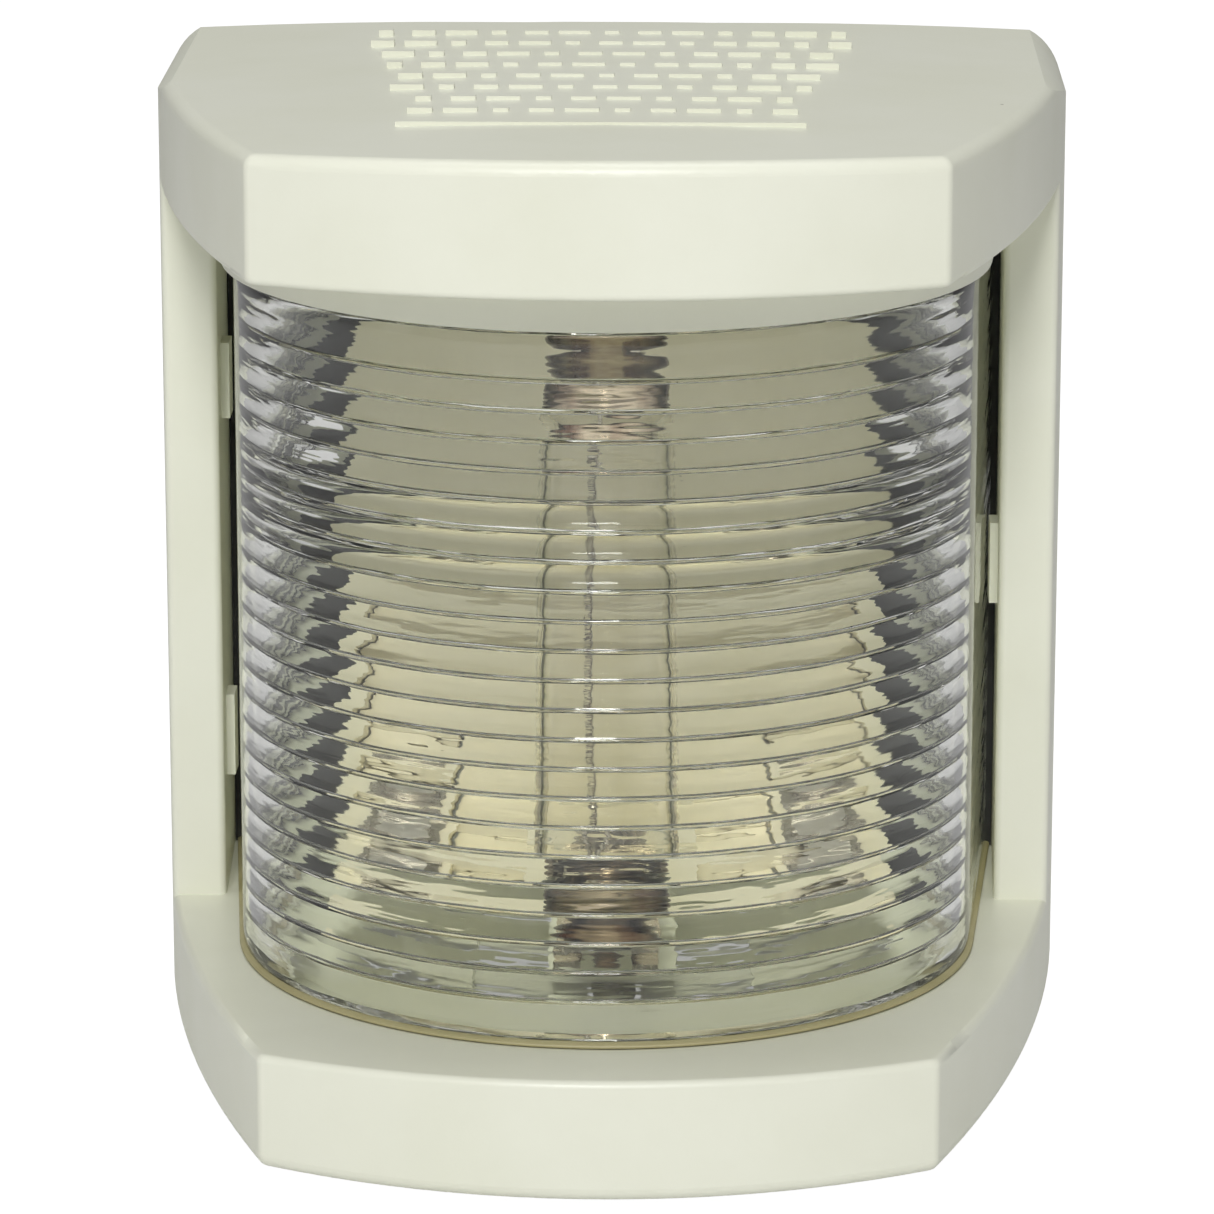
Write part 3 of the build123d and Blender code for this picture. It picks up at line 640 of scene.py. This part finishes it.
nodeFinish = {
    # lamp_carrier and wiring_cover take the lighter cream copy, painted light against the shade inside the
    # lamp
    "front_housing": creamPlastic, "base_plate": creamPlastic, "lamp_carrier": lighterInnerPlastic,
    "rear_gasket": blackRubber, "cable_grommet": blackRubber, "lens_seal_upper": sealBead,
    "hinge_pin": stainlessSteel, "cover_screw": stainlessSteel, "cover_washer": stainlessSteel,
    "contact_foot_upper": nickelPlate, "contact_foot_lower": nickelPlate,
    "contact_upper": nickelPlate, "contact_lower": nickelPlate, "contact_rivets": nickelPlate,
    "strip_left": plainBrass, "strip_right": plainBrass, "screw_insert": plainBrass,
    "terminal_left": nickelPlate, "terminal_right": nickelPlate,
    "terminal_washer_left": nickelPlate, "terminal_washer_right": nickelPlate,
    # the plate_seal and side_seal strips are black sheets set in gaps that otherwise hold only shade:
    # painted shade
    "wiring_cover": lighterInnerPlastic, "plate_seal_left": blackRubber, "plate_seal_right": blackRubber,
    "side_seal_left": blackRubber, "side_seal_right": blackRubber,
    "terminal_screw_left": stainlessSteel, "terminal_screw_right": stainlessSteel,
}
for nodeName, finish in nodeFinish.items():
    dress(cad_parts[nodeName], finish)
print("stage: node finishes set")


# floor, light, camera

studio = {
    "floorZ": cadBox[0][2], "floorGap": 0.0002, "floorSize": 5.0, "floorSteps": 40,
    "bendStart": 1.7, "bendLength": 0.8, "bendRise": 1.9, "paperWhite": 0.82,
    "keyPower": 6.9, "topPower": 1.9, "stripPower": 0.06, "skyStrength": 0.20,
}


def buildFloor():
    # pale sheet that runs back and curves up behind; what the camera sees directly is mixed with
    # white, while the light it throws on the object comes from plain paper
    across = np.array([-0.5, 0.5]) * studio["floorSize"]
    steps = studio["floorSteps"]
    depth = (np.linspace(0, 1, steps) - 0.5) * studio["floorSize"]
    sweepBack = np.clip((depth - studio["bendStart"]) / studio["bendLength"], 0, 1)
    rise = studio["bendRise"] * (1 - np.cos(sweepBack * pi / 2))
    points = np.zeros((2, steps, 3))
    points[:, :, 0] = across[:, None]
    points[:, :, 1] = depth
    points[:, :, 2] = studio["floorZ"] - studio["floorGap"] + rise
    floor = putMesh("studioFloor", points, gridFaces(2, steps, False, False))
    paint = Paint("floorPaper")
    grain = paint.noise(30.0, 3.0)
    tint = paint.blend(grain, (0.86, 0.86, 0.86, 1), (0.9, 0.9, 0.9, 1))
    paper = paint.principled(Base_Color=tint, Roughness=0.9)
    white = paint.node("ShaderNodeEmission", None, {"Color": (1, 1, 1, 1), "Strength": 1.2})
    seen = paint.node("ShaderNodeLightPath", out="Is Camera Ray") * studio["paperWhite"]
    dress(floor, paint.finish(paint.node("ShaderNodeMixShader", None, {0: seen, 1: paper, 2: white})))


def softLight(name, place, aim, size, power):
    lamp = bpy.data.lights.new(name, "AREA")
    lamp.shape = "RECTANGLE"
    lamp.size, lamp.size_y = size
    lamp.energy = power
    holder = bpy.data.objects.new(name, lamp)
    holder.location = place
    toward = np.array(aim) - np.array(place)
    flat = np.hypot(toward[0], toward[1])
    holder.rotation_euler = (pi / 2 + atan2(toward[2], flat), 0, atan2(-toward[0], toward[1]))
    scene.collection.objects.link(holder)


buildFloor()
softLight("frontKey", (-0.04, -0.90, 0.62), (0, 0, 0), (0.26, 0.24), studio["keyPower"])
softLight("topFill", (0.0, 0.0, 0.85), (0, -0.02, 0), (0.4, 0.3), studio["topPower"])
softLight("leftStrip", (-0.55, -0.30, 0.12), (0, -0.03, 0), (0.10, 0.5), studio["stripPower"])
softLight("rightStrip", (0.55, -0.30, 0.12), (0, -0.03, 0), (0.10, 0.5), studio["stripPower"])

world = bpy.data.worlds.new("studioSky")
scene.world = world
world.use_nodes = True
world.node_tree.nodes["Background"].inputs[0].default_value = (1, 1, 1, 1)
world.node_tree.nodes["Background"].inputs[1].default_value = studio["skyStrength"]

eye = {
    "place": (8.475 * mm, -427.2 * mm, 99.9 * mm), "down": 14.56, "turn": 1.214,
    "focal": 180.97, "sensor": 36.0, "shiftY": 0.0148,
}
cameraData = bpy.data.cameras.new("boatLightCamera")
cameraData.lens = eye["focal"]
cameraData.sensor_width = eye["sensor"]
cameraData.shift_y = eye["shiftY"]
cameraData.clip_start = 0.01
camera = bpy.data.objects.new("boatLightCamera", cameraData)
camera.location = eye["place"]
camera.rotation_euler = (radians(90.0 - eye["down"]), 0, radians(eye["turn"]))
scene.collection.objects.link(camera)
scene.camera = camera
scene.view_settings.view_transform = "Standard"
print("stage: studio made")
